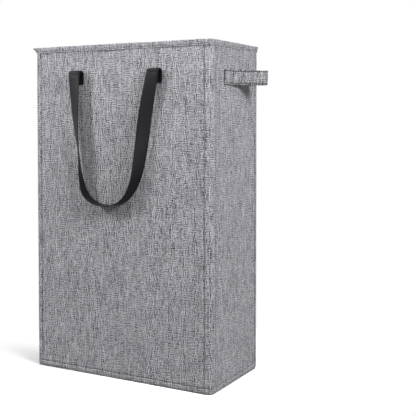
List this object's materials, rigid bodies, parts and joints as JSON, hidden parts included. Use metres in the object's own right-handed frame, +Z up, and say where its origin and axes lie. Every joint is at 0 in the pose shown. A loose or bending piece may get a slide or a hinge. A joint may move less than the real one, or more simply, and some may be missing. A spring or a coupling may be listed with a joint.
{
  "type": "laundry hamper",
  "caption": "Slim upright cloth laundry hamper with webbing handles, side grab loops and a drawstring mesh cover; its side walls crease inwards so that it folds flat.",
  "frame": {"origin": "under the centre of the floor, on the surface that the hamper stands on", "axes": "+Z up, -Y out of the front wall, +X towards the side wall on the right as seen from the front"},
  "size_m": [0.4372, 0.2178, 0.56],
  "materials": {
    "linen_cloth": "heathered grey plain weave",
    "lining_cloth": "light grey plain lining",
    "webbing": "charcoal woven webbing",
    "mesh": "dark grey open mesh",
    "drawcord": "black braided cord",
    "greyboard": "pressed greyboard",
    "floor_board": "greyboard wrapped in light grey lining cloth",
    "rod": "drawn glass-fibre rod",
    "lock_plastic": "moulded black plastic",
    "spring_steel": "drawn spring wire"
  },
  "bodies": {
    "rear_wall": {"rear_panel": "linen_cloth", "rear_board": "greyboard", "rear_lining": "lining_cloth", "rear_hem": "linen_cloth", "rear_right_sleeve": "lining_cloth", "rear_right_rod": "rod", "rear_handle_right_tab": "webbing", "rear_left_sleeve": "lining_cloth", "rear_left_rod": "rod", "rear_handle_left_tab": "webbing", "rear_mesh": "mesh", "rear_mesh_casing": "mesh", "floor_cloth": "linen_cloth", "cord_tail_left": "drawcord", "cord_knot_left": "drawcord", "cord_tail_right": "drawcord", "cord_knot_right": "drawcord"},
    "right_rear_side": {"right_rear_gusset": "linen_cloth", "right_rear_hem": "linen_cloth", "right_rear_mesh": "mesh", "right_rear_mesh_casing": "mesh"},
    "right_front_side": {"right_front_gusset": "linen_cloth", "right_front_hem": "linen_cloth", "right_front_mesh": "mesh", "right_front_mesh_casing": "mesh", "right_grab_loop": "linen_cloth"},
    "front_wall": {"front_panel": "linen_cloth", "front_board": "greyboard", "front_lining": "lining_cloth", "front_hem": "linen_cloth", "front_left_sleeve": "lining_cloth", "front_left_rod": "rod", "front_handle_left_tab": "webbing", "front_right_sleeve": "lining_cloth", "front_right_rod": "rod", "front_handle_right_tab": "webbing", "front_mesh": "mesh", "front_mesh_casing": "mesh"},
    "left_rear_side": {"left_rear_gusset": "linen_cloth", "left_rear_hem": "linen_cloth", "left_rear_mesh": "mesh", "left_rear_mesh_casing": "mesh"},
    "left_front_side": {"left_front_gusset": "linen_cloth", "left_front_hem": "linen_cloth", "left_front_mesh": "mesh", "left_front_mesh_casing": "mesh", "left_grab_loop": "linen_cloth"},
    "floor_board": {"floor_board": "floor_board"},
    "front_handle": {"front_handle_strap": "webbing"},
    "rear_handle": {"rear_handle_strap": "webbing"},
    "cord_lock": {"cord_lock_body": "lock_plastic", "cord_lock_spring": "spring_steel"},
    "lock_button": {"cord_lock_button": "lock_plastic"}
  },
  "joints": [
    {"name": "fold", "type": "hinge", "parent": "rear_wall", "child": "right_rear_side", "pos_m": [0.1744, 0.0725, 0.28], "axis": [0, 0, -1], "range_deg": [0, 80], "deforming": ["right_rear_gusset", "right_front_gusset", "left_rear_gusset", "left_front_gusset", "right_rear_hem", "right_front_hem", "left_rear_hem", "left_front_hem", "right_rear_mesh", "right_front_mesh", "left_rear_mesh", "left_front_mesh", "right_rear_mesh_casing", "right_front_mesh_casing", "left_rear_mesh_casing", "left_front_mesh_casing", "right_grab_loop", "left_grab_loop", "floor_cloth"]},
    {"name": "right_crease", "type": "hinge", "parent": "right_rear_side", "child": "right_front_side", "pos_m": [0.176, 0, 0.28], "axis": [0, 0, 1], "range_deg": [0, 160]},
    {"name": "right_front_fold", "type": "hinge", "parent": "right_front_side", "child": "front_wall", "pos_m": [0.1744, -0.0725, 0.28], "axis": [0, 0, -1], "range_deg": [0, 80]},
    {"name": "left_fold", "type": "hinge", "parent": "rear_wall", "child": "left_rear_side", "pos_m": [-0.1744, 0.0725, 0.28], "axis": [0, 0, 1], "range_deg": [0, 80]},
    {"name": "left_crease", "type": "hinge", "parent": "left_rear_side", "child": "left_front_side", "pos_m": [-0.176, 0, 0.28], "axis": [0, 0, -1], "range_deg": [0, 160]},
    {"name": "floor_flip", "type": "hinge", "parent": "rear_wall", "child": "floor_board", "pos_m": [0, 0.081, 0.0045], "axis": [-1, 0, 0], "range_deg": [0, 88]},
    {"name": "front_handle_swing", "type": "hinge", "parent": "front_wall", "child": "front_handle", "pos_m": [0, -0.0987, 0.5101], "axis": [-1, 0, 0], "range_deg": [0, 165]},
    {"name": "rear_handle_swing", "type": "hinge", "parent": "rear_wall", "child": "rear_handle", "pos_m": [0, 0.0987, 0.5101], "axis": [1, 0, 0], "range_deg": [0, 165]},
    {"name": "lock_slide", "type": "slide", "parent": "rear_wall", "child": "cord_lock", "axis": [0, 0, -1], "range_m": [0, 0.045]},
    {"name": "lock_press", "type": "slide", "parent": "cord_lock", "child": "lock_button", "axis": [-1, 0, 0], "range_m": [0, 0.003], "stiffness_N_per_m": 300, "springref_m": -0.002, "deforming": ["cord_lock_spring"]}
  ],
  "couplings": [
    {"joint": "right_crease", "follows": "fold", "ratio": 2},
    {"joint": "right_front_fold", "follows": "fold", "ratio": 1},
    {"joint": "left_fold", "follows": "fold", "ratio": 1},
    {"joint": "left_crease", "follows": "fold", "ratio": 2},
    {"joint": "floor_flip", "follows": "fold", "ratio": 1.1}
  ]
}
